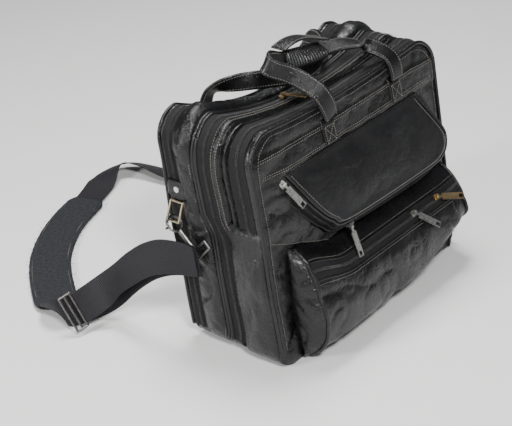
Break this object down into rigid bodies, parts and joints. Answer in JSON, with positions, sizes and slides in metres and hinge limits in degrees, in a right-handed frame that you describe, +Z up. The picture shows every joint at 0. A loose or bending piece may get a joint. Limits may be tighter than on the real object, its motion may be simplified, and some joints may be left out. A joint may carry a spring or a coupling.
{
  "type": "flight bag",
  "caption": "Soft leather pilot flight bag with three zipped sections, front organiser flap, lower front pocket, two carry handles and a clip-on webbing shoulder strap with pad.",
  "frame": {"origin": "on the floor, under the middle of the bag between the two halves", "axes": "+X along the bag to its right end seen from the front, +Y to the back, +Z up"},
  "size_m": [0.5941, 0.7144, 0.4207],
  "materials": {
    "leather": "worn semi-gloss grain",
    "piping": "smooth glossy piping",
    "zip_tape": "woven tape with coil",
    "board": "matte stiffener",
    "silver_metal": "polished with light scratches",
    "gold_metal": "polished brass tone",
    "webbing": "ribbed nylon webbing",
    "suede": "matte suede, frayed edges"
  },
  "bodies": {
    "rear_section": {"rear_end_gussets": "leather", "rear_top_gusset": "leather", "rear_base": "leather", "rear_divider": "leather", "base_board": "board", "double_piping": "piping", "main_zip_tape_rear": "zip_tape", "rear_zip_tape_inner": "zip_tape", "ring_tabs": "leather", "tab_rivets": "silver_metal", "snap_hooks": "silver_metal", "strap_loops": "silver_metal", "strap_webbing": "webbing", "strap_adjuster": "webbing", "tri_glide": "silver_metal", "shoulder_pad": "suede"},
    "left_ring_body": {"left_ring": "silver_metal"},
    "right_ring_body": {"right_ring": "silver_metal"},
    "left_gate_body": {"left_hook_gate": "silver_metal"},
    "right_gate_body": {"right_hook_gate": "silver_metal"},
    "back_flap": {"back_panel": "leather", "back_piping": "piping", "rear_zip_tape_outer": "zip_tape", "back_handle_patches": "leather"},
    "back_handle_body": {"back_handle": "leather"},
    "front_half": {"front_end_gussets": "leather", "front_top_gusset": "leather", "front_base": "leather", "front_divider": "leather", "front_panel": "leather", "front_piping": "piping", "main_zip_tape_front": "zip_tape", "front_zip_tapes": "zip_tape", "front_band": "leather", "front_handle_patches": "leather", "organizer_gusset": "leather", "organizer_tape_body": "zip_tape", "lower_pocket_front": "leather", "lower_pocket_gusset": "leather", "pocket_zip_tapes": "zip_tape", "lower_pocket_piping": "piping"},
    "organizer_flap_body": {"organizer_flap": "leather", "organizer_tape_flap": "zip_tape"},
    "front_handle_body": {"front_handle": "leather", "handle_grip": "leather"},
    "handle_wrap_body": {"handle_wrap": "leather"},
    "main_zip_slider_body": {"main_zip_slider": "gold_metal"},
    "main_zip_pull_body": {"main_zip_pull": "gold_metal"},
    "rear_zip_slider_body": {"rear_zip_slider": "gold_metal"},
    "rear_zip_pull_body": {"rear_zip_pull": "gold_metal"},
    "front_zip_slider_body": {"front_zip_slider": "gold_metal"},
    "front_zip_pull_body": {"front_zip_pull": "gold_metal"},
    "organizer_side_slider_body": {"organizer_side_slider": "silver_metal"},
    "organizer_side_pull_body": {"organizer_side_pull": "silver_metal"},
    "organizer_low_slider_body": {"organizer_low_slider": "silver_metal"},
    "organizer_low_pull_body": {"organizer_low_pull": "silver_metal"},
    "pocket_left_slider_body": {"pocket_left_slider": "silver_metal"},
    "pocket_left_pull_body": {"pocket_left_pull": "silver_metal"},
    "pocket_right_slider_body": {"pocket_right_slider": "gold_metal"},
    "pocket_right_pull_body": {"pocket_right_pull": "gold_metal"}
  },
  "joints": [
    {"name": "front_half_open", "type": "hinge", "parent": "rear_section", "child": "front_half", "pos_m": [0, -0.012, 0], "axis": [1, 0, 0], "range_deg": [0, 75]},
    {"name": "back_flap_open", "type": "hinge", "parent": "rear_section", "child": "back_flap", "pos_m": [0, 0.078, 0], "axis": [-1, 0, 0], "range_deg": [0, 45]},
    {"name": "organizer_flap_open", "type": "hinge", "parent": "front_half", "child": "organizer_flap_body", "pos_m": [0, -0.0645, 0.2775], "axis": [-1, 0, 0], "range_deg": [0, 90]},
    {"name": "front_handle_turn", "type": "hinge", "parent": "front_half", "child": "front_handle_body", "pos_m": [0, -0.062, 0.319], "axis": [1, 0, 0], "range_deg": [0, 95]},
    {"name": "back_handle_turn", "type": "hinge", "parent": "back_flap", "child": "back_handle_body", "pos_m": [0, 0.12, 0.304], "axis": [1, 0, 0], "range_deg": [-135, 0]},
    {"name": "handle_wrap_open", "type": "hinge", "parent": "front_handle_body", "child": "handle_wrap_body", "pos_m": [0.03, 0.009, 0.391], "axis": [0, 1, 0], "range_deg": [0, 60]},
    {"name": "main_zip_run", "type": "slide", "parent": "rear_section", "child": "main_zip_slider_body", "axis": [-0.9982, 0, 0.0599], "range_m": [-0.02, 0.03]},
    {"name": "main_zip_pull_turn", "type": "hinge", "parent": "main_zip_slider_body", "child": "main_zip_pull_body", "pos_m": [-0.0436, 0.026, 0.33299], "axis": [-0.9982, 0, 0.0599], "range_deg": [0, 40]},
    {"name": "rear_zip_run", "type": "slide", "parent": "rear_section", "child": "rear_zip_slider_body", "axis": [0, 0.1172, 0.9931], "range_m": [-0.03, 0.004]},
    {"name": "rear_zip_pull_turn", "type": "hinge", "parent": "rear_zip_slider_body", "child": "rear_zip_pull_body", "pos_m": [0.2238, 0.06508, 0.06], "axis": [0, -0.9931, 0.1172], "range_deg": [0, 60]},
    {"name": "front_zip_run", "type": "slide", "parent": "front_half", "child": "front_zip_slider_body", "axis": [0, 0.1172, 0.9931], "range_m": [-0.03, 0.2]},
    {"name": "front_zip_pull_turn", "type": "hinge", "parent": "front_zip_slider_body", "child": "front_zip_pull_body", "pos_m": [0.2238, -0.06092, 0.06], "axis": [0, -0.9931, 0.1172], "range_deg": [0, 90]},
    {"name": "organizer_side_run", "type": "slide", "parent": "organizer_flap_body", "child": "organizer_side_slider_body", "axis": [0.4706, -0.2717, -0.8395], "range_m": [0, 0.014]},
    {"name": "organizer_side_pull_turn", "type": "hinge", "parent": "organizer_side_slider_body", "child": "organizer_side_pull_body", "pos_m": [-0.16767, -0.07101, 0.26932], "axis": [-0.8686, 0.0244, -0.4949], "range_deg": [0, 90]},
    {"name": "organizer_low_run", "type": "slide", "parent": "organizer_flap_body", "child": "organizer_low_slider_body", "axis": [0.9994, -0.0107, -0.033], "range_m": [0, 0.118]},
    {"name": "organizer_low_pull_turn", "type": "hinge", "parent": "organizer_low_slider_body", "child": "organizer_low_pull_body", "pos_m": [-0.0631, -0.1014, 0.16443], "axis": [-0.9994, 0.0107, 0.033], "range_deg": [0, 90]},
    {"name": "pocket_left_run", "type": "slide", "parent": "front_half", "child": "pocket_left_slider_body", "axis": [1, 0, 0], "range_m": [-0.105, 0.02]},
    {"name": "pocket_left_pull_turn", "type": "hinge", "parent": "pocket_left_slider_body", "child": "pocket_left_pull_body", "pos_m": [0.072, -0.11671, 0.12849], "axis": [-0.8, -0.3529, -0.4852], "range_deg": [0, 90]},
    {"name": "pocket_right_run", "type": "slide", "parent": "front_half", "child": "pocket_right_slider_body", "axis": [1, 0, 0], "range_m": [-0.02, 0.045]},
    {"name": "pocket_right_pull_turn", "type": "hinge", "parent": "pocket_right_slider_body", "child": "pocket_right_pull_body", "pos_m": [0.132, -0.11671, 0.12849], "axis": [-0.4392, -0.5284, -0.7266], "range_deg": [0, 90]},
    {"name": "left_ring_swing", "type": "hinge", "parent": "rear_section", "child": "left_ring_body", "pos_m": [-0.224, 0.079, 0.226], "axis": [0, 1, 0], "range_deg": [-3, 3]},
    {"name": "left_gate_open", "type": "hinge", "parent": "rear_section", "child": "left_gate_body", "pos_m": [-0.24783, 0.07214, 0.19405], "axis": [0, 0.6919, -0.722], "range_deg": [0, 20], "stiffness_Nm_per_rad": 0.02, "springref_deg": -11.46},
    {"name": "right_ring_swing", "type": "hinge", "parent": "rear_section", "child": "right_ring_body", "pos_m": [0.224, 0.079, 0.226], "axis": [0, 1, 0], "range_deg": [-3, 3]},
    {"name": "right_gate_open", "type": "hinge", "parent": "rear_section", "child": "right_gate_body", "pos_m": [0.24783, 0.07805, 0.19117], "axis": [0, -0.995, 0.1], "range_deg": [0, 20], "stiffness_Nm_per_rad": 0.02, "springref_deg": -11.46}
  ]
}
